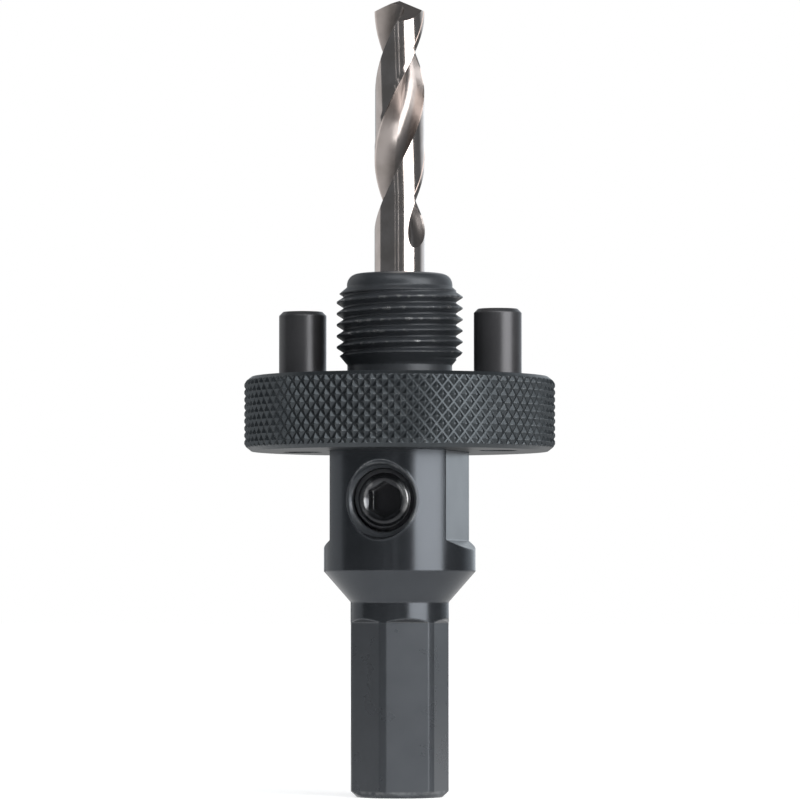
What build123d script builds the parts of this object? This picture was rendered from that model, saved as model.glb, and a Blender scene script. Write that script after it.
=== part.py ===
from build123d import *
import os
from math import asin, cos, degrees, radians, sin, sqrt, tan

# Hole saw arbor standing on the end of its hexagonal shank.
# The origin is the centre of the shank's end face, and +Z runs up the axis to the drill's point.
# +X goes through the right drive pin, and the set screw looks along -Y. All lengths are millimetres.

# Hexagonal shank, milled on a round bar
shank_diameter = 12.35
hex_across_flats = 11.11
hex_corner_angle = 24.75
hex_length = 21.85
hex_runout_angle = 35.0
neck_length = 2.55
shank_chamfer_width = 0.8
shank_chamfer_height = 0.75

# Body with two milled flats, which the drive plate slides on
body_diameter = 19.05
body_across_flats = 15.0
cone_height = 3.85
collar_length = 2.7
flat_runout_angle = 30.0
flat_length = 20.55
shoulder_chamfer = 0.35

# Threaded nose that the saw screws onto; the thread itself is a plain cylinder here
thread_diameter = 15.875
relief_diameter = 13.2
relief_length = 1.5
thread_runout = 1.6
thread_length = 7.1
thread_lead_in = 1.1
nose_diameter = 13.3
nose_length = 1.7
nose_edge_fillet = 1.4

# Pilot drill
drill_diameter = 6.35
drill_length = 76.2
drill_projection = 34.55
drill_bore_clearance = 0.05
drill_bore_bottom_gap = 0.4
drill_end_chamfer = 0.4
bore_mouth_chamfer = 0.35

# Its two flutes: lead of the helix, the web left between them, the section of one flute,
# and the length from the point to where it leaves the bar
flute_lead = 37.7
flute_web = 1.1
flute_floor_radius = 1.48
flute_floor_offset = 0.5
flute_middle_angle = 53.0
flute_length = 31.4
flute_exit_length = 6.4
flute_exit_sections = 7
margin_width = 0.55
land_clearance = 0.07

# Its split point: half the point's angle, where the lip looks, the relief behind the lip, and the notch
point_half_angle = 67.5
lip_direction = 17.1
lip_relief_angle = 8.0
notch_angle = 44.0
notch_setback = 0.1

# Set screw that clamps the drill
screw_diameter = 7.9
screw_bore_clearance = 0.05
screw_recess = 1.8
screw_tip_gap = 0.05
screw_height = 37.1
screw_mouth_diameter = 9.95
screw_mouth_angle = 60.0
screw_face_chamfer = 0.6
screw_tip_chamfer = 1.2
socket_across_flats = 4.0
socket_depth = 2.4
socket_lead_in = 0.3

# Drive plate with its two pressed pins
plate_diameter = 39.1
plate_thickness = 9.35
rim_chamfer_width = 0.9
rim_chamfer_height = 0.7
plate_slide_clearance = 0.08
plate_bore_chamfer = 0.4
pin_diameter = 6.0
pin_shank_diameter = 5.0
pin_spacing = 25.4
pin_projection = 8.4
pin_recess = 0.3
pin_chamfer = 0.5

# Radii
shank_radius = shank_diameter / 2
body_radius = body_diameter / 2
flat_distance = body_across_flats / 2
thread_radius = thread_diameter / 2
relief_radius = relief_diameter / 2
nose_radius = nose_diameter / 2
drill_radius = drill_diameter / 2
drill_bore_radius = drill_radius + drill_bore_clearance
screw_radius = screw_diameter / 2
plate_radius = plate_diameter / 2
pin_radius = pin_diameter / 2
pin_shank_radius = pin_shank_diameter / 2

# Heights along the axis, each stacked on the one below
neck_top = hex_length + neck_length
cone_top = neck_top + cone_height
collar_top = cone_top + collar_length
flat_bottom = collar_top + (body_radius - flat_distance) * tan(radians(flat_runout_angle))
shoulder = flat_bottom + flat_length
relief_top = shoulder + relief_length
thread_bottom = relief_top + thread_runout
thread_top = thread_bottom + thread_length
nose_bottom = thread_top + thread_lead_in
nose_top = nose_bottom + nose_length
drill_point = nose_top + drill_projection
drill_bottom = drill_point - drill_length
bore_bottom = drill_bottom - drill_bore_bottom_gap
flute_end = drill_point - flute_length
full_flute_end = flute_end + flute_exit_length
screw_tip = drill_radius + screw_tip_gap
screw_face = body_radius - screw_recess
plate_bottom = shoulder - plate_thickness
pin_bottom = plate_bottom + pin_recess
pin_top = shoulder + pin_projection

# How far a cutter reaches past the skin that it cuts
overshoot = 1.0


def milled_flat(distance, start, end, start_angle, end_angle, outside):
    """Cutter for one flat that faces +X, whose ends climb out of the bar at the angles given."""
    depth = outside - distance
    with BuildPart() as cutter:
        with BuildSketch(Plane.XZ):
            Polygon(
                (distance, start),
                (outside, start - depth * tan(radians(start_angle))),
                (outside, end + depth * tan(radians(end_angle))),
                (distance, end),
                align=None,
            )
        extrude(amount=outside, both=True)
    return cutter.part


hex_distance = hex_across_flats / 2
body_flat = milled_flat(flat_distance, flat_bottom, shoulder, flat_runout_angle, 0, body_radius + overshoot)
hex_flat = milled_flat(hex_distance, -overshoot, hex_length, 0, hex_runout_angle, shank_radius + overshoot)

# Arbor body: turned in one piece, then milled with two flats above and six below,
# bored for the pilot drill from the nose, and drilled from the side for the set screw.
with BuildPart() as arbor_body:
    with BuildSketch(Plane.XZ):
        with BuildLine():
            Polyline(
                (0, 0),
                (shank_radius - shank_chamfer_width, 0),
                (shank_radius, shank_chamfer_height),
                (shank_radius, neck_top),
                (body_radius, cone_top),
                (body_radius, shoulder - shoulder_chamfer),
                (body_radius - shoulder_chamfer, shoulder),
                (relief_radius, shoulder),
                (relief_radius, relief_top),
                (thread_radius, thread_bottom),
                (thread_radius, thread_top),
                (nose_radius, nose_bottom),
                (nose_radius, nose_top),
                (0, nose_top),
                (0, 0),
            )
        make_face()
    revolve(axis=Axis.Z)
    fillet(arbor_body.edges().filter_by(GeomType.CIRCLE).sort_by(Axis.Z)[-1], radius=nose_edge_fillet)
    with PolarLocations(0, 2):
        add(body_flat, mode=Mode.SUBTRACT)
    with PolarLocations(0, 6, start_angle=hex_corner_angle + 30):
        add(hex_flat, mode=Mode.SUBTRACT)
    with Locations((0, 0, nose_top)):
        CounterSinkHole(
            radius=drill_bore_radius,
            counter_sink_radius=drill_bore_radius + bore_mouth_chamfer,
            depth=nose_top - bore_bottom,
            counter_sink_angle=90,
        )
    with Locations(Plane(origin=(0, -body_radius, screw_height), x_dir=(1, 0, 0), z_dir=(0, -1, 0))):
        CounterSinkHole(
            radius=screw_radius + screw_bore_clearance,
            counter_sink_radius=screw_mouth_diameter / 2,
            depth=body_radius - drill_bore_radius / 2,
            counter_sink_angle=screw_mouth_angle,
        )
arbor_body.part.label = "arbor_body"


def turned(height):
    """The drill's section at a height: moved up to it and turned with the helix."""
    return Pos(0, 0, height) * Rot(0, 0, lip_direction + (height - drill_point) * 360 / flute_lead)


lip_offset = flute_web / 2
flute_floor = Vector(flute_floor_offset, lip_offset + flute_floor_radius)
flute_middle = Vector(cos(radians(flute_middle_angle)), sin(radians(flute_middle_angle)))


def flute_section(moved_out):
    """Section of one flute, moved out along its middle line.

    Its straight side is the face in front of the cutting lip, half the web ahead of the axis. A round
    floor joins it to the heel of the other land.
    """
    outside = drill_radius + overshoot
    with BuildSketch() as section:
        with BuildLine():
            face = Line((2 * outside, lip_offset), (flute_floor.X, lip_offset))
            heel = Line((flute_floor.X - flute_floor_radius, flute_floor.Y), (-outside / 4, outside))
            CenterArc(flute_floor, flute_floor_radius, 180, 90)
            top = Line(heel @ 1, (2 * outside, outside))
            Line(top @ 1, face @ 0)
        make_face()
    return Location(flute_middle * moved_out) * section.sketch.face()


def margin_section():
    """Section of the strip that keeps one margin standing while the rest of its land is ground down."""
    lip_corner = degrees(asin(lip_offset / drill_radius))
    margin_angle = degrees(margin_width / drill_radius)
    inner = Vector(drill_radius / 2, 0)
    with BuildSketch() as section:
        Polygon(
            inner.rotate(Axis.Z, lip_corner - margin_angle),
            4 * inner.rotate(Axis.Z, lip_corner - margin_angle),
            4 * inner.rotate(Axis.Z, lip_corner + margin_angle),
            inner.rotate(Axis.Z, lip_corner + margin_angle),
            align=None,
        )
    return section.sketch.face()


def twisted(section, start, end):
    """The section extruded along the axis while it turns with the helix."""
    rise = (0, 0, end - start)
    return Solid.extrude_linear_with_rotation(
        turned(start) * section, (0, 0, start), rise, (end - start) * 360 / flute_lead
    )


def flute_exit():
    """The end of a flute: the grinding wheel leaves the bar on an arc while the helix goes on."""
    along = flute_floor.dot(flute_middle)
    reach = (drill_radius + flute_floor_radius) ** 2 - flute_floor.dot(flute_floor)
    lift = sqrt(along**2 + reach) - along
    wheel_radius = (flute_exit_length**2 + lift**2) / (2 * lift)
    wires = []
    for index in range(flute_exit_sections):
        down = (flute_exit_length + overshoot / 4) * index / (flute_exit_sections - 1)
        moved_out = wheel_radius - sqrt(wheel_radius**2 - down**2)
        wires.append((turned(full_flute_end - down) * flute_section(moved_out)).outer_wire())
    return Solid.make_loft(wires)


def point_plane(slope_along_lip, slope_behind_lip, setback):
    """Plane of one ground facet of the point, which falls away along the lip and behind it."""
    facet = Plane(
        origin=(0, -setback, 0),
        x_dir=(1, 0, -slope_along_lip),
        z_dir=(slope_along_lip, -slope_behind_lip, 1),
    )
    return Location((0, 0, drill_point), (0, 0, lip_direction)) * facet.location


flute_cutter = twisted(flute_section(0), full_flute_end, drill_point + overshoot)
margin_strip = twisted(margin_section(), full_flute_end, drill_point + overshoot)
flute_exit_cutter = flute_exit()
flank = point_plane(1 / tan(radians(point_half_angle)), tan(radians(lip_relief_angle)), 0)
notch = point_plane(0, tan(radians(notch_angle)), notch_setback)
half_turn = Location((0, 0, 0), (0, 0, 180))

# Cutter for the layer ground off the lands behind their margins
with BuildPart() as land_cutter:
    with BuildSketch(Plane.XY.offset(full_flute_end)):
        Circle(drill_radius + overshoot)
        Circle(drill_radius - land_clearance, mode=Mode.SUBTRACT)
    extrude(amount=drill_point + overshoot - full_flute_end)
    with PolarLocations(0, 2):
        add(margin_strip, mode=Mode.SUBTRACT)

# Pilot drill: a round bar with two right-hand helical flutes that run out above the nose, a narrow
# margin along each lip's edge, and a split point of two flanks and two notches.
with BuildPart() as pilot_drill:
    with BuildSketch(Plane.XY.offset(drill_bottom)):
        Circle(drill_radius)
    extrude(amount=drill_length)
    chamfer(pilot_drill.edges().sort_by(Axis.Z)[0], length=drill_end_chamfer)
    add(land_cutter.part, mode=Mode.SUBTRACT)
    with PolarLocations(0, 2):
        add(flute_cutter, mode=Mode.SUBTRACT)
        add(flute_exit_cutter, mode=Mode.SUBTRACT)
    with Locations(flank, half_turn * flank, notch, half_turn * notch):
        Box(
            4 * drill_diameter,
            4 * drill_diameter,
            2 * drill_diameter,
            align=(Align.CENTER, Align.CENTER, Align.MIN),
            mode=Mode.SUBTRACT,
        )
pilot_drill.part.label = "pilot_drill"

# Set screw: a headless screw with a hexagon socket, its tip against the drill
with BuildPart() as set_screw:
    with BuildSketch(Plane.XZ.offset(screw_tip)):
        with Locations((0, screw_height)):
            Circle(screw_radius)
    extrude(amount=screw_face - screw_tip)
    chamfer(set_screw.faces().sort_by(Axis.Y)[0].edges(), length=screw_face_chamfer)
    chamfer(set_screw.faces().sort_by(Axis.Y)[-1].edges(), length=screw_tip_chamfer)
    with BuildSketch(Plane.XZ.offset(screw_face)):
        with Locations((0, screw_height)):
            RegularPolygon(socket_across_flats / 2, 6, major_radius=False, rotation=30)
    extrude(amount=-socket_depth, mode=Mode.SUBTRACT)
    with BuildSketch(Plane.XZ.offset(screw_face)):
        with Locations((0, screw_height)):
            Circle(socket_across_flats / 2 + socket_lead_in)
    extrude(amount=-2 * socket_lead_in, taper=45, mode=Mode.SUBTRACT)
set_screw.part.label = "set_screw"

# Drive plate: a disc whose bore has the same two flats as the body, so that it slides but can't turn,
# with two holes for the pins. Its rim is plain here, at the size over the knurl.
bore_radius = body_radius + plate_slide_clearance
bore_flat_distance = flat_distance + plate_slide_clearance
pin_places = {"drive_pin_left": -pin_spacing / 2, "drive_pin_right": pin_spacing / 2}

with BuildPart() as drive_plate:
    with BuildSketch(Plane.XZ):
        with BuildLine():
            Polyline(
                (0, plate_bottom),
                (plate_radius - rim_chamfer_width, plate_bottom),
                (plate_radius, plate_bottom + rim_chamfer_height),
                (plate_radius, shoulder - rim_chamfer_height),
                (plate_radius - rim_chamfer_width, shoulder),
                (0, shoulder),
                (0, plate_bottom),
            )
        make_face()
    revolve(axis=Axis.Z)
    with BuildSketch(Plane.XY.offset(plate_bottom)):
        Circle(bore_radius)
        Rectangle(2 * bore_flat_distance, 2 * bore_radius, mode=Mode.INTERSECT)
    extrude(amount=plate_thickness, mode=Mode.SUBTRACT)
    bore_ends = [
        edge
        for face in (drive_plate.faces().sort_by(Axis.Z)[0], drive_plate.faces().sort_by(Axis.Z)[-1])
        for edge in face.inner_wires()[0].edges()
    ]
    chamfer(bore_ends, length=plate_bore_chamfer)
    with Locations([(place, 0, shoulder) for place in pin_places.values()]):
        Hole(pin_shank_radius, depth=plate_thickness)
drive_plate.part.label = "drive_plate"

# Drive pins: shouldered pins whose thinner shanks are pressed into the plate, chamfered at the top
drive_pins = []
for pin_name, pin_x in pin_places.items():
    with BuildPart() as drive_pin:
        with BuildSketch(Plane.XY.offset(pin_bottom)):
            with Locations((pin_x, 0)):
                Circle(pin_shank_radius)
        extrude(amount=shoulder - pin_bottom)
        with BuildSketch(Plane.XY.offset(shoulder)):
            with Locations((pin_x, 0)):
                Circle(pin_radius)
        extrude(amount=pin_projection)
        chamfer(drive_pin.faces().sort_by(Axis.Z)[-1].edges(), length=pin_chamfer)
    drive_pin.part.label = pin_name
    drive_pins.append(drive_pin)

os.makedirs("parts", exist_ok=True)
for piece in (arbor_body, pilot_drill, set_screw, drive_plate, *drive_pins):
    export_step(piece.part, f"parts/{piece.part.label}.step")
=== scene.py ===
from math import cos, pi, radians, sin, sqrt, tan

import bmesh
import bpy
from mathutils import Matrix, Vector


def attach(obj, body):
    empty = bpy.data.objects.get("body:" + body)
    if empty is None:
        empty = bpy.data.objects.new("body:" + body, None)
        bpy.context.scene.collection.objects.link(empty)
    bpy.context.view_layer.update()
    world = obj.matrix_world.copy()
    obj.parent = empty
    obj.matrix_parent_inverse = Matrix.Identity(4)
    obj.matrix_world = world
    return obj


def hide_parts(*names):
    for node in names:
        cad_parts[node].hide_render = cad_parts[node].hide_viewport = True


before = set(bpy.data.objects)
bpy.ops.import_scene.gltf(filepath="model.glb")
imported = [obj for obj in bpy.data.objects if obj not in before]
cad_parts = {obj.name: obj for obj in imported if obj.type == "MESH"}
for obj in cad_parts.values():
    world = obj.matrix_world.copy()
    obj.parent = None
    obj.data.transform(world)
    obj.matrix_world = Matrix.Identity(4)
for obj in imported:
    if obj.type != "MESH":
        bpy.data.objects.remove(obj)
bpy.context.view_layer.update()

# Camera: stands almost level with the hexagonal shank and a little to its right, far back with a
# long lens, so that the arbor fills the height of a square picture.
camera_turn = radians(15)
camera_distance = 0.6
camera_level = 0.02465
camera_pitch = radians(92.4)
lens = bpy.data.cameras.new("camera")
lens.lens = 214.8
lens.shift_x = 0.00035
camera = bpy.data.objects.new("camera", lens)
camera.location = (
    camera_distance * sin(camera_turn),
    -camera_distance * cos(camera_turn),
    camera_level,
)
camera.rotation_euler = (camera_pitch, 0, camera_turn)
bpy.context.scene.collection.objects.link(camera)
bpy.context.scene.camera = camera
bpy.context.scene.view_settings.view_transform = "Standard"

# Studio: a pale floor and a white background. Reflections see a dim room that is lighter behind the
# arbor, a tall soft panel at each side, two thin strips and a panel above, and a pool of light on the
# floor. They give dark steel its light and dark bands.


class Socket:
    """One output socket of a node tree. Arithmetic on it adds Math nodes to the tree."""

    def __init__(self, net, socket):
        self.net = net
        self.socket = socket

    def also(self, name):
        """Another output of the same node."""
        return Socket(self.net, self.socket.node.outputs[name])

    def math(self, operation, *values):
        sockets = dict(enumerate((self, *values)))
        return self.net.node("ShaderNodeMath", {"operation": operation}, sockets)

    def __add__(self, other):
        return self.math("ADD", other)

    __radd__ = __add__

    def __sub__(self, other):
        return self.math("SUBTRACT", other)

    def __rsub__(self, other):
        return self.net.node("ShaderNodeMath", {"operation": "SUBTRACT"}, {0: other, 1: self})

    def __mul__(self, other):
        return self.math("MULTIPLY", other)

    def __truediv__(self, other):
        return self.math("DIVIDE", other)

    def smaller(self, other):
        return self.math("MINIMUM", other)

    def larger(self, other):
        return self.math("MAXIMUM", other)

    def clamped(self):
        """The number, held between 0 and 1."""
        return self.larger(0.0).smaller(1.0)

    def smoothed(self, start, end):
        """0 below start and 1 above end, with a smooth rise between them."""
        settings = {"interpolation_type": "SMOOTHSTEP"}
        sockets = {0: self, 1: start, 2: end, 3: 0.0, 4: 1.0}
        return self.net.node("ShaderNodeMapRange", settings, sockets)

    def faded(self, start, end):
        """1 below start and 0 above end, with a smooth fall between them."""
        return 1 - self.smoothed(start, end)


class Net:
    """A node tree that is being built."""

    def __init__(self, tree):
        self.tree = tree

    def node(self, kind, settings=None, sockets=None):
        """Adds a node with its settings and its sockets' values or links. Gives its first output."""
        made = self.tree.nodes.new(kind)
        for name, value in (settings or {}).items():
            setattr(made, name, value)
        for name, value in (sockets or {}).items():
            if isinstance(value, Socket):
                self.tree.links.new(value.socket, made.inputs[name])
            else:
                made.inputs[name].default_value = value
        return Socket(self, made.outputs[0]) if made.outputs else made

    def split(self, vector):
        """A vector's three numbers."""
        first = self.node("ShaderNodeSeparateXYZ", {}, {0: vector})
        return first, first.also("Y"), first.also("Z")

    def dot(self, first, second):
        """The dot product of two vectors."""
        settings = {"operation": "DOT_PRODUCT"}
        return self.node("ShaderNodeVectorMath", settings, {0: first, 1: second}).also("Value")

    def noise(self, place, scale, detail):
        sockets = {"Vector": place, "Scale": scale, "Detail": detail}
        return self.node("ShaderNodeTexNoise", {}, sockets)

    def mixed(self, share, first, second):
        """A colour between two colours: a share of 0 gives the first and 1 the second."""
        sockets = {0: share, 6: first, 7: second}
        return self.node("ShaderNodeMix", {"data_type": "RGBA"}, sockets).also(2)


world = bpy.data.worlds.new("studio")
bpy.context.scene.world = world
world.use_nodes = True
world.node_tree.nodes.clear()
net = Net(world.node_tree)
room_level, backdrop_level, backdrop_heart = 0.12, 0.7, 0.38
backdrop_turn = camera_turn + radians(158)
backdrop = (sin(backdrop_turn), -cos(backdrop_turn), 0)
behind = net.dot(net.node("ShaderNodeTexCoord").also("Generated"), backdrop)
room = room_level + behind.smoothed(0.6, 0.97) * backdrop_level
room = room + behind.smoothed(0.95, 0.985) * backdrop_heart
dim = net.node("ShaderNodeBackground", {}, {"Color": (0.87, 0.94, 1, 1), "Strength": room})
white = net.node("ShaderNodeBackground", {}, {"Color": (1, 1, 1, 1), "Strength": 1.0})
shown = net.node("ShaderNodeLightPath").also("Is Camera Ray")
sky = net.node("ShaderNodeMixShader", {}, {0: shown, 1: dim, 2: white})
net.node("ShaderNodeOutputWorld", {}, {"Surface": sky})

panel_aim = Vector((0, 0, 0.055))


def panel(name, turn, width, height, distance, level, brightness):
    """A soft lamp that stands round the arbor, turned to the right of the camera as seen from it."""
    lamp = bpy.data.lights.new(name, "AREA")
    lamp.shape = "RECTANGLE"
    lamp.size = width
    lamp.size_y = height
    lamp.energy = brightness * pi * width * height
    stand = bpy.data.objects.new(name, lamp)
    angle = camera_turn + radians(turn)
    stand.location = (distance * sin(angle), -distance * cos(angle), level)
    aim = panel_aim - stand.location
    stand.rotation_euler = aim.to_track_quat("-Z", "Y").to_euler()
    bpy.context.scene.collection.objects.link(stand)


tall = {"height": 0.7, "distance": 0.5, "level": 0.12}
panel("panel_right", turn=45, width=0.43, brightness=3.5, **tall)
panel("panel_left", turn=-125, width=0.55, brightness=0.43, **tall)
panel("strip_near", turn=-6, width=0.01, brightness=1.3, **tall)
panel("strip_far", turn=-21, width=0.006, brightness=1.1, **tall)
panel("panel_top", turn=0, width=0.5, height=0.5, distance=0.35, level=0.6, brightness=1.6)


def empty_material(name):
    """A material whose node tree is still empty, and the net that builds it."""
    material = bpy.data.materials.new(name)
    material.use_nodes = True
    material.node_tree.nodes.clear()
    return material, Net(material.node_tree)


floor_half, floor_level = 4, -2e-5
floor_corners = [(-1, -1), (1, -1), (1, 1), (-1, 1)]
floor_mesh = bpy.data.meshes.new("floor")
floor_mesh.from_pydata(
    [(floor_half * x, floor_half * y, floor_level) for x, y in floor_corners], [], [(0, 1, 2, 3)]
)
floor = bpy.data.objects.new("floor", floor_mesh)
bpy.context.scene.collection.objects.link(floor)
pale, net = empty_material("pale_floor")
rays = net.node("ShaderNodeLightPath")
place = net.node("ShaderNodeTexCoord").also("Object")
spot = net.node("ShaderNodeVectorMath", {"operation": "LENGTH"}, {0: place}).also("Value")
pool_edge, pool_rise, glow_heart, glow_rise = 0.06, 0.66, 0.68, 0.32
pool = pool_edge + spot.faded(0.1, 0.45) * pool_rise
glow = glow_heart + spot.smoothed(0.1, 0.5) * glow_rise
matt = net.node("ShaderNodeBsdfDiffuse", {}, {"Color": (0.85, 0.85, 0.85, 1)})
lit = net.node("ShaderNodeEmission", {}, {"Color": (1, 1, 1, 1), "Strength": glow})
mirrored = net.node("ShaderNodeEmission", {}, {"Color": (1, 1, 1, 1), "Strength": pool})
bright = net.node("ShaderNodeAddShader", {}, {0: matt, 1: lit})
seen = net.node("ShaderNodeMixShader", {}, {0: rays.also("Is Camera Ray"), 1: matt, 2: bright})
surface = net.node("ShaderNodeMixShader", {}, {0: rays.also("Is Glossy Ray"), 1: seen, 2: mirrored})
net.node("ShaderNodeOutputMaterial", {}, {"Surface": surface})
floor_mesh.materials.append(pale)

# Arbor body: one turned and milled steel bar with a black oxide finish. The saw's thread on its nose is
# cut with a die: 5/8 inch, 18 turns to the inch, right-hand, with its crests rubbed bright in places.
blotch_scale, speck_scale = 260.0, 5200.0
ring_stretch = (60, 60, 9000)
bare_and_highlight_steel = (0.5, 0.5, 0.5, 1)


def blackened_steel(name, base, roughness, grain, turned, edge_radius, zones=None):
    """Steel with a black oxide finish: a cool charcoal skin with blotches, fine grain and worn edges.

    turned is how strong the fine rings are that the lathe left round the axis. zones gives, at a place,
    the height of cut marks, and how far the finish is matt and ringed there, how far it is rubbed off to
    bare steel, which also paints highlights, and how far it is darkened, by dirt and by painted shade.
    """
    material, net = empty_material(name)
    place = net.node("ShaderNodeTexCoord").also("Object")
    blotch = net.noise(place, blotch_scale, 5.0)
    speck = net.noise(place, speck_scale, 3.0)
    stretched = net.node("ShaderNodeMapping", {}, {"Vector": place, "Scale": ring_stretch})
    rings = net.noise(stretched, 1.0, 2.0)
    zone = {"marks": 0.0, "matt": 0.0, "wear_and_highlight": 0.0, "dirt_and_shade": 0.0, "ringed": 1.0}
    zone.update(zones(net, place) if zones else {})

    rounded = net.node("ShaderNodeBevel", {"samples": 6}, {"Radius": edge_radius})
    square = net.node("ShaderNodeNewGeometry").also("Normal")
    edge = (1 - net.dot(rounded, square)).smoothed(0.02, 0.2)
    patchy = speck.smoothed(0.4, 0.62) * blotch.smoothed(0.35, 0.6)
    # The zones' rubbed share turns the colour to bare steel: wear, and in places a painted highlight.
    wear_and_highlight_share = (edge * (1 - zone["matt"] * 0.8) * patchy).larger(zone["wear_and_highlight"])

    # The zones' soiled share darkens the colour: dirt, and in places painted shade.
    tone = (blotch - 0.5) * 0.6 + (speck - 0.5) * grain + 0.5 - zone["dirt_and_shade"]
    dark = (*(0.4 * part for part in base), 1)
    light = (*(1.25 * part for part in base), 1)
    colour = net.mixed(wear_and_highlight_share * 0.75, net.mixed(tone * 0.6 + 0.4, dark, light), bare_and_highlight_steel)
    lathed = (rings - 0.5) * turned * zone["ringed"]
    rough = roughness + (blotch - 0.5) * 0.1 + lathed * 0.1 + zone["matt"] * 0.16
    height = speck * grain + lathed + zone["marks"]
    relief = {"Strength": 0.2, "Distance": 0.00002, "Height": height, "Normal": rounded}
    bump = net.node("ShaderNodeBump", {}, relief)
    metallic = 0.85 - zone["matt"] * 0.5
    finish = {"Base Color": colour, "Metallic": metallic, "Roughness": rough, "Normal": bump}
    steel = net.node("ShaderNodeBsdfPrincipled", {}, finish)
    net.node("ShaderNodeOutputMaterial", {}, {"Surface": steel})
    return material


def own_mesh(node, name):
    """A copy of a node's mesh as a new object, with its loose triangles joined."""
    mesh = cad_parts[node].data.copy()
    mesh.name = name
    mesh.materials.clear()
    work = bmesh.new()
    work.from_mesh(mesh)
    bmesh.ops.remove_doubles(work, verts=work.verts, dist=1e-6)
    work.to_mesh(mesh)
    work.free()
    piece = bpy.data.objects.new(name, mesh)
    bpy.context.scene.collection.objects.link(piece)
    return piece


def pull_in(mesh, radius, bottom, top):
    """Moves the skin between two levels in to a radius, where the skin that is added there hides it."""
    for vertex in mesh.vertices:
        out = Vector((vertex.co.x, vertex.co.y)).length
        if bottom < vertex.co.z < top and out > radius:
            vertex.co.x *= radius / out
            vertex.co.y *= radius / out


def add_skins(mesh, *skins):
    """Adds the faces of other meshes to a mesh."""
    work = bmesh.new()
    for part in (mesh, *skins):
        work.from_mesh(part)
    work.to_mesh(mesh)
    work.free()


def smooth_between_edges(mesh, angle):
    """Smooth shading, apart from edges sharper than the angle in degrees."""
    if "custom_normal" in mesh.attributes:
        mesh.attributes.remove(mesh.attributes["custom_normal"])
    mesh.shade_smooth()
    mesh.set_sharp_from_angle(angle=radians(angle))


def sized_tree(name, sizes):
    """A new geometry tree with one number input for each size, and its group input's sockets by name."""
    tree = bpy.data.node_groups.new(name, "GeometryNodeTree")
    for label in sizes:
        tree.interface.new_socket(label, in_out="INPUT", socket_type="NodeSocketFloat")
    tree.interface.new_socket("Mesh", in_out="OUTPUT", socket_type="NodeSocketGeometry")
    net = Net(tree)
    group = net.node("NodeGroupInput")
    return tree, net, {label: group.also(label) for label in sizes}


def flat_grid(net, columns, rows):
    """A flat grid, each point's share of a turn and its row, from -1 to rows + 2."""
    counts = {"Size X": 1.0, "Size Y": 1.0, "Vertices X": columns + 1, "Vertices Y": rows + 4}
    grid = net.node("GeometryNodeMeshGrid", {}, counts)
    x, y, _ = net.split(net.node("GeometryNodeInputPosition"))
    return grid, x + 0.5, (y + 0.5) * (rows + 3) - 1


def chamfered(level, size):
    """How far a level is up the run-in at the bottom, and down the run-out at the top."""
    run_in = (level - size["Bottom"]) / (size["Full from"] - size["Bottom"])
    run_out = (size["Top"] - level) / (size["Top"] - size["Full to"])
    return run_in, run_out


def wrap_grid(net, grid, size, steel, turn, level, outside, row, first_row, last_row):
    """Wraps a grid round the axis and ends the tree.

    The rows outside the first and the last one go behind the skin, at the inner radius, and close it.
    """
    below = row.math("LESS_THAN", first_row - 0.5)
    above = row.math("GREATER_THAN", last_row + 0.5)
    hidden = below.larger(above)
    back = below.larger(row.math("GREATER_THAN", last_row + 1.5))
    radius = outside * (1 - hidden) + size["Inner radius"] * hidden
    height = (level * (1 - above) + size["Top"] * above) * (1 - back) + size["Bottom"] * back
    around = turn * (2 * pi)
    place = {0: radius * around.math("COSINE"), 1: radius * around.math("SINE"), 2: height}
    position = net.node("ShaderNodeCombineXYZ", {}, place)
    wrapped = net.node("GeometryNodeSetPosition", {}, {"Geometry": grid, "Position": position})
    closed = net.node("GeometryNodeMergeByDistance", {}, {"Geometry": wrapped, "Distance": 2e-6})
    real = net.node("GeometryNodeRealizeInstances", {}, {0: closed})
    finished = net.node("GeometryNodeSetMaterial", {}, {"Geometry": real, "Material": steel})
    net.node("NodeGroupOutput", {}, {0: finished})


def apply_tree(tree, name, sizes):
    """The plain mesh that a geometry tree makes with its named sizes set."""
    seed = bpy.data.objects.new(name, bpy.data.meshes.new(name))
    bpy.context.scene.collection.objects.link(seed)
    modifier = seed.modifiers.new("shape", "NODES")
    modifier.node_group = tree
    for item in tree.interface.items_tree:
        if item.item_type == "SOCKET" and item.in_out == "INPUT" and item.name in sizes:
            modifier[item.identifier] = sizes[item.name]
    bpy.context.view_layer.update()
    evaluated = seed.evaluated_get(bpy.context.evaluated_depsgraph_get())
    mesh = bpy.data.meshes.new_from_object(evaluated)
    seed.modifiers.remove(modifier)
    bpy.data.objects.remove(seed)
    return mesh


body_radius = 0.009525
hexagon_top = 0.02185
screw_level = 0.0371
tap_pitch = 0.00125
mark_height = 12.0


def distance(first, second):
    """How far a place is from an axis, from its two coordinates across the axis."""
    return (first * first + second * second).math("SQRT")


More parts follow.
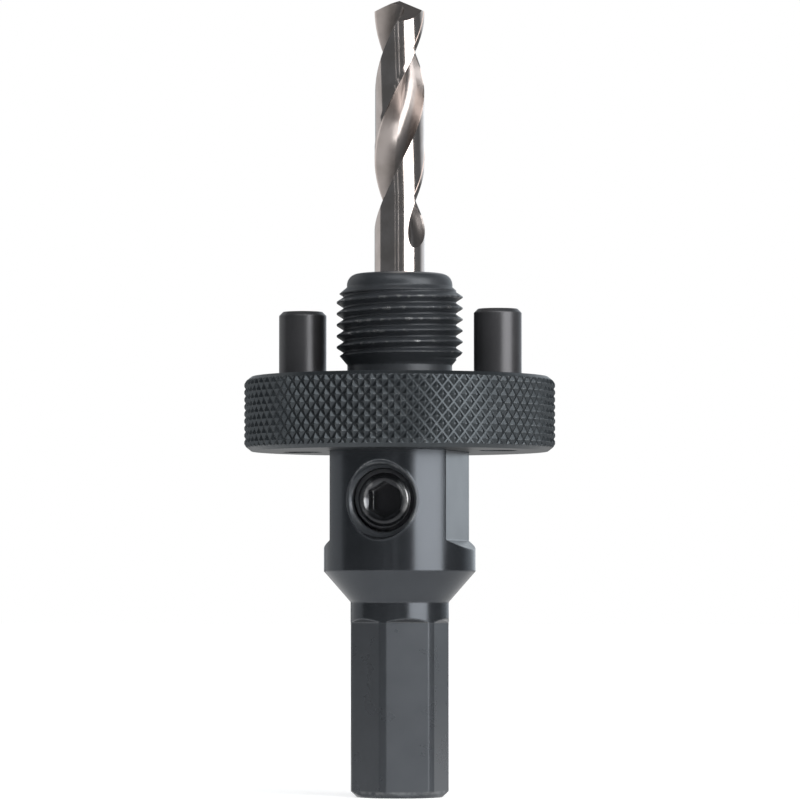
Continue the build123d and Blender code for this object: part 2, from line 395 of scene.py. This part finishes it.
def cut_zones(net, place):
    """How the body's finish differs over its surface.

    The tap has left marks in the mouth of the set screw's hole. That mouth, the nose above the plate,
    which the die has cut, and the hexagon are matt. The thread's crests, the foot's chamfer and the
    tapped ridges are rubbed. The arcs where the hexagon's flats run out are painted bright on the
    right-hand side only: a painted highlight. The nose is darker. The hexagon has no rings.
    """
    side, depth, height = net.split(place)
    rise = height - screw_level
    off_screw = distance(side, rise)
    off_axis = distance(side, depth)
    patches = net.noise(place, 900.0, 3.0)

    wound = depth / tap_pitch + rise.math("ARCTAN2", side) / (2 * pi)
    ridge = ((wound.math("FRACT") - 0.5) * 2).math("ABSOLUTE")
    front = depth.faded(-0.0078, -0.0072)
    marks = ridge * mark_height * front * off_screw.faded(0.0042, 0.0046)

    nose = height.smoothed(0.0515, 0.0525)
    mouth = off_screw.faded(0.0046, 0.0048) * depth.faded(-0.005, -0.004)
    hexagon = height.faded(hexagon_top - 0.00005, hexagon_top + 0.00005)
    crests = off_axis.smoothed(0.00765, 0.0079) * height.smoothed(0.0546, 0.0554)
    crests = crests * patches.smoothed(0.5, 0.7)
    matt = (nose + hexagon * 0.4).larger(mouth * 0.7) * (1 - crests * 0.8)

    foot = height.smoothed(0.0003, 0.0006) * height.faded(0.0007, 0.0009)
    foot = foot * patches.smoothed(0.3, 0.6)
    # Painted highlight: the arcs are bright only on the right-hand side, towards the bright lamp.
    right_arc_highlight = height.smoothed(hexagon_top - 0.00002, hexagon_top + 0.00002)
    right_arc_highlight = right_arc_highlight * off_axis.faded(0.006, 0.00606) * side.smoothed(-0.0015, 0.0005)
    tapped = ridge.smoothed(0.55, 0.95) * front * off_screw.faded(0.0046, 0.0048)
    tapped = tapped * patches.smoothed(0.35, 0.6)
    wear_and_highlight = (crests * 0.6).larger(foot * 0.35).larger(right_arc_highlight * 0.35).larger(tapped * 0.3)
    dirt_and_shade = nose * 0.6
    ringed = 1 - hexagon
    return {"marks": marks, "matt": matt, "wear_and_highlight": wear_and_highlight, "dirt_and_shade": dirt_and_shade, "ringed": ringed}


body_steel = blackened_steel(
    "body_steel", (0.092, 0.1, 0.111), 0.22, grain=0.06, turned=0.2, edge_radius=0.0003, zones=cut_zones
)
saw_pitch = 0.0254 / 18
nose = {
    "Pitch": saw_pitch,
    "Crest radius": 0.0079375,
    "Root radius": 0.00712,
    "Inner radius": 0.0062,
    "Bottom": 0.054169,
    "Bottom radius": 0.0066,
    "Full from": 0.055769,
    "Full to": 0.062869,
    "Top": 0.063969,
    "Top radius": 0.00665,
    "Crest height": 0.05781 + 165 / 360 * saw_pitch,
}
thread_columns = 180
rows_per_turn = 18
turns_covered = 8
thread_rows = rows_per_turn * turns_covered
crest_flat, flank = 0.125, 0.75
thread_tree, net, size = sized_tree("cut_thread", nose)
grid, turn, row = flat_grid(net, thread_columns, thread_rows)
row = row.math("ROUND")
along = row / rows_per_turn
climb = size["Pitch"] * (along + turn - turns_covered / 2) + size["Crest height"]
level = climb.larger(size["Bottom"]).smaller(size["Top"])
off_crest = (along - along.math("ROUND")).math("ABSOLUTE") * 2
tooth = ((off_crest - crest_flat) / flank).clamped()
cut = size["Crest radius"] - tooth * (size["Crest radius"] - size["Root radius"])
run_in, run_out = chamfered(level, size)
lower = size["Bottom radius"] + run_in * (size["Crest radius"] - size["Bottom radius"])
upper = size["Top radius"] + run_out * (size["Crest radius"] - size["Top radius"])
outside = cut.smaller(lower).smaller(upper)
wrap_grid(net, grid, size, body_steel, turn, level, outside, row, 1, thread_rows)
thread = apply_tree(thread_tree, "thread", nose)

# The tapped ridges are a closed strip in the conical mouth of the screw's hole, from its floor to the
# lip, where the cone meets the round body. Its first and last rows lie behind it, in the steel.
mouth_floor, mouth_floor_radius, mouth_slope = 0.00775, 0.00395, tan(radians(30))
ridge_depth, ridge_start, ridge_end = 0.00022, 8, 5
mouth_columns, mouth_rows, lip_rounds = 144, 20, 12
tucked_out, tucked_down = 0.00004, 0.00006
behind_out, behind_down = 0.0004, 0.0008
work = bmesh.new()
made = []
for step in range(-1, mouth_rows + 2):
    share = min(max(step / mouth_rows, 0), 1)
    fade = min(1, share * ridge_start, (1 - share) * ridge_end)
    ring = []
    for index in range(mouth_columns):
        angle = 2 * pi * index / mouth_columns
        lip = body_radius
        for _ in range(lip_rounds):
            lip_radius = mouth_floor_radius + (lip - mouth_floor) * mouth_slope
            lip = sqrt(body_radius ** 2 - (lip_radius * cos(angle)) ** 2)
        depth = mouth_floor + share * (lip - mouth_floor)
        ridge = abs((depth / tap_pitch - index / mouth_columns) % 1 - 0.5) * 2
        cone = mouth_floor_radius + (depth - mouth_floor) * mouth_slope
        radius = max(cone - ridge * ridge_depth * fade, mouth_floor_radius)
        if share in (0, 1):
            radius += tucked_out
            depth -= tucked_down * share
        if step in (-1, mouth_rows + 1):
            radius += behind_out
            depth -= behind_down * share
        place = (radius * cos(angle), -depth, screw_level + radius * sin(angle))
        ring.append(work.verts.new(place))
    made.append(ring)
for inner, outer in zip(made, made[1:] + made[:1]):
    for index in range(mouth_columns):
        after = (index + 1) % mouth_columns
        work.faces.new((inner[index], inner[after], outer[after], outer[index]))
bmesh.ops.recalc_face_normals(work, faces=work.faces)
tapped_mouth = bpy.data.meshes.new("tapped_mouth")
work.to_mesh(tapped_mouth)
work.free()

body = own_mesh("arbor_body", "dressed_arbor_body")
inset = 1e-5
pull_in(body.data, nose["Bottom radius"], nose["Bottom"] + inset, nose["Top"] - inset)
body.data.materials.append(body_steel)
add_skins(body.data, thread, tapped_mouth)
smooth_between_edges(body.data, angle=23)
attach(body, "arbor")
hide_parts("arbor_body")

# Drive plate: a turned steel disc with a black oxide finish, whose rim has a diamond knurl pressed in by
# two crossing wheels, and whose pins engage the saw.
plate_steel = blackened_steel(
    "plate_steel", (0.08, 0.09, 0.098), 0.33, grain=0.3, turned=0.2, edge_radius=0.0001
)
rim = {
    "Crest radius": 0.01955,
    "Groove depth": 0.00034,
    "Face radius": 0.01865,
    "Inner radius": 0.0183,
    "Bottom": 0.043319,
    "Full from": 0.044019,
    "Full to": 0.051969,
    "Top": 0.052669,
    "Diamond height": 0.0018,
}
diamonds = 82
steps_per_diamond = 12
rim_rows = 64
groove_width, flank_rise = 1 / 6, 1.5
whole_diamonds = 100  # Added to the phases, which then stay above 0.


def from_groove(phase):
    """0 on a groove and 1 midway between two grooves."""
    return 1 - ((phase.math("FRACT") - 0.5) * 2).math("ABSOLUTE")


tree, net, size = sized_tree("diamond_knurl", rim)
grid, turn, row = flat_grid(net, diamonds * steps_per_diamond, rim_rows)
across = turn * diamonds
up = (row - rim_rows / 2) / steps_per_diamond
left_hand = from_groove(across + up + whole_diamonds)
right_hand = from_groove(across - up + whole_diamonds)
creased = net.node(
    "GeometryNodeTriangulate",
    {"quad_method": "FIXED_ALTERNATE"},
    {"Mesh": grid, "Selection": left_hand.math("LESS_THAN", right_hand)},
)
creased = net.node("GeometryNodeTriangulate", {"quad_method": "FIXED"}, {"Mesh": creased})
middle = (size["Bottom"] + size["Top"]) / 2
level = (middle + up * size["Diamond height"]).larger(size["Bottom"]).smaller(size["Top"])
pyramid = (left_hand.smaller(right_hand) - groove_width) * flank_rise
knurled = size["Crest radius"] - (1 - pyramid).clamped() * size["Groove depth"]
run_in, run_out = chamfered(level, size)
chamfer_width = size["Crest radius"] - size["Face radius"]
outside = knurled.smaller(size["Face radius"] + run_in.smaller(run_out) * chamfer_width)
wrap_grid(net, creased, size, plate_steel, turn, level, outside, row, 0, rim_rows)
knurl = apply_tree(tree, "knurl", rim)

plate = own_mesh("drive_plate", "dressed_drive_plate")
pull_in(plate.data, rim["Face radius"], bottom=0, top=1)
plate.data.materials.append(plate_steel)
add_skins(plate.data, knurl)
smooth_between_edges(plate.data, angle=23)
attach(plate, "plate")
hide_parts("drive_plate")


# Drive pins: two turned and hardened steel pins with shoulders and a black oxide finish, pressed into
# the plate. Their finish is a little matt all over.
def pin_zones(net, place):
    return {"matt": 0.4}


pin_steel = blackened_steel(
    "pin_steel", (0.105, 0.104, 0.109), 0.27, grain=0.2, turned=0.3, edge_radius=0.00025, zones=pin_zones
)
for name in ("drive_pin_left", "drive_pin_right"):
    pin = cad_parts[name]
    pin.data.materials.clear()
    pin.data.materials.append(pin_steel)

# Pilot drill: a ground high-speed steel twist drill, bright, with fine marks round its shank. The
# flutes, their run-outs and the point's facets are duller.
flute_end, flute_fade = 0.0738, 0.0014
fine_ring_stretch = (300, 300, 12000)
warm_steel = (0.77, 0.69, 0.655, 1)
worn_steel = (0.64, 0.57, 0.53, 1)
dull_steel = (0.2, 0.182, 0.174, 1)
bright_steel, net = empty_material("bright_steel")
place = net.node("ShaderNodeTexCoord").also("Object")
stretched = net.node("ShaderNodeMapping", {}, {"Vector": place, "Scale": fine_ring_stretch})
rings = net.noise(stretched, 1.0, 2.0)
cloud = net.noise(place, 400.0, 4.0)
side, depth, height = net.split(place)
fluted = distance(side, depth).faded(0.0029, 0.00308)
run_out = height.faded(flute_end, flute_end + flute_fade)
facing = net.split(net.node("ShaderNodeNewGeometry").also("Normal"))
pointed = facing[2].smoothed(0.5, 0.75)
dulled = (fluted * (0.4 + run_out * 0.42)).larger(pointed * 0.78)
tint = net.mixed(cloud.smoothed(0.35, 0.7), warm_steel, worn_steel)
relief = {"Strength": 0.2, "Distance": 0.00001, "Height": rings * (1 - fluted * 0.85)}
rough = 0.13 + fluted.larger(pointed) * 0.2 + (cloud - 0.5) * 0.12 + (rings - 0.5) * 0.1
finish = {
    "Base Color": net.mixed(dulled, tint, dull_steel),
    "Metallic": 1.0,
    "Roughness": rough,
    "Normal": net.node("ShaderNodeBump", {}, relief),
}
steel = net.node("ShaderNodeBsdfPrincipled", {}, finish)
net.node("ShaderNodeOutputMaterial", {}, {"Surface": steel})
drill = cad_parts["pilot_drill"]
drill.data.materials.clear()
drill.data.materials.append(bright_steel)


# Set screw: a headless steel screw with a hexagon socket and a rounded rim, black oxide and oiled. It is
# turned into the body's side until its tip clamps the drill.
def gripped_rim(net, place):
    """The screw's rounded rim, bare steel at its sides: partly wear, partly a painted highlight.

    The top and bottom of the rim and the socket's floor are darker: painted shade. The thread is matt.
    """
    side, depth, height = net.split(place)
    rise = height - screw_level
    out = distance(side, rise)
    patches = net.noise(place, 700.0, 3.0)
    inside = out.faded(0.0019, 0.0023)
    ring = out.smoothed(0.0022, 0.0025) * out.faded(0.0031, 0.0033)
    # Painted highlight: the rim's bright share lies at its left and right sides and towards its upper
    # left.
    slant = (rise - side + side.larger(0.0)) * 60
    highlight_sides = ((side / out).math("ABSOLUTE") + slant).smoothed(0.7, 0.95)
    # Painted highlight: stronger on the right than on the left.
    right_highlight_gain = (side * 140 + 0.72).smaller(1.0)
    matt = out.smoothed(0.0033, 0.0034).larger(inside * 0.2)
    # Painted shade: the socket's floor and the rim's top and bottom are darker.
    dirt_and_shade = (inside * depth.smoothed(-0.0072, -0.0062)).larger(ring * (1 - highlight_sides) * 0.8)
    # Bare steel at the rim's sides: wear, with a painted highlight.
    wear_and_highlight = ring * highlight_sides * patches.smoothed(0.25, 0.5) * right_highlight_gain
    return {"matt": matt, "wear_and_highlight": wear_and_highlight, "dirt_and_shade": dirt_and_shade}


screw_steel = blackened_steel(
    "screw_steel", (0.1, 0.103, 0.11), 0.2, grain=0.2, turned=0.0, edge_radius=0.0002, zones=gripped_rim
)
tip, face = 0.003225, 0.007725
tip_radius, tip_chamfer = 0.0022, 0.0008
socket_half, socket_depth = 0.002, 0.0024
cup_slope = 0.75
rim_start, rim_width, rim_depth, rim_steps = 0.0026, 0.00085, 0.00078, 8
screw_corners = 96
screw_thread_sizes = {
    "Pitch": tap_pitch,
    "Crest radius": 0.00392,
    "Root radius": 0.0034,
    "Inner radius": 0.003,
    "Bottom": tip + 0.0006,
    "Bottom radius": 0.0034,
    "Full from": tip + 0.0012,
    "Full to": face - 0.0005,
    "Top": face - 0.00035,
    "Top radius": 0.0034,
    "Crest height": 0.0055,
}
screw_thread = apply_tree(thread_tree, "screw_thread", screw_thread_sizes)
angles = [2 * pi * index / screw_corners for index in range(screw_corners)]
hexagon = [socket_half / cos((angle + pi / 6) % (pi / 3) - pi / 6) for angle in angles]
rings = [
    [(out, face - socket_depth) for out in hexagon],
    [(out, face - (rim_start - out) * cup_slope) for out in hexagon],
]
for step in range(rim_steps + 1):
    lean = pi / 2 * step / rim_steps
    curve = (rim_start + rim_width * sin(lean), face - rim_depth * (1 - cos(lean)))
    rings.append([curve] * screw_corners)
rings.append([(rim_start + rim_width, tip + tip_chamfer)] * screw_corners)
rings.append([(tip_radius, tip)] * screw_corners)
work = bmesh.new()
made = []
for ring in rings:
    places = [(out * cos(angle), out * sin(angle), level) for angle, (out, level) in zip(angles, ring)]
    made.append([work.verts.new(place) for place in places])
bottom = work.verts.new((0, 0, face - socket_depth))
end = work.verts.new((0, 0, tip))
for index in range(screw_corners):
    after = (index + 1) % screw_corners
    work.faces.new((bottom, made[0][after], made[0][index]))
    work.faces.new((end, made[-1][index], made[-1][after]))
    for inner, outer in zip(made, made[1:]):
        work.faces.new((inner[index], inner[after], outer[after], outer[index]))
bmesh.ops.recalc_face_normals(work, faces=work.faces)
work.from_mesh(screw_thread)
screw_mesh = bpy.data.meshes.new("dressed_set_screw")
work.to_mesh(screw_mesh)
work.free()
screw_mesh.transform(Matrix(((1, 0, 0, 0), (0, 0, -1, 0), (0, 1, 0, screw_level), (0, 0, 0, 1))))
screw_mesh.materials.append(screw_steel)
smooth_between_edges(screw_mesh, angle=30)
screw = bpy.data.objects.new("dressed_set_screw", screw_mesh)
bpy.context.scene.collection.objects.link(screw)
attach(screw, "screw")
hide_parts("set_screw")
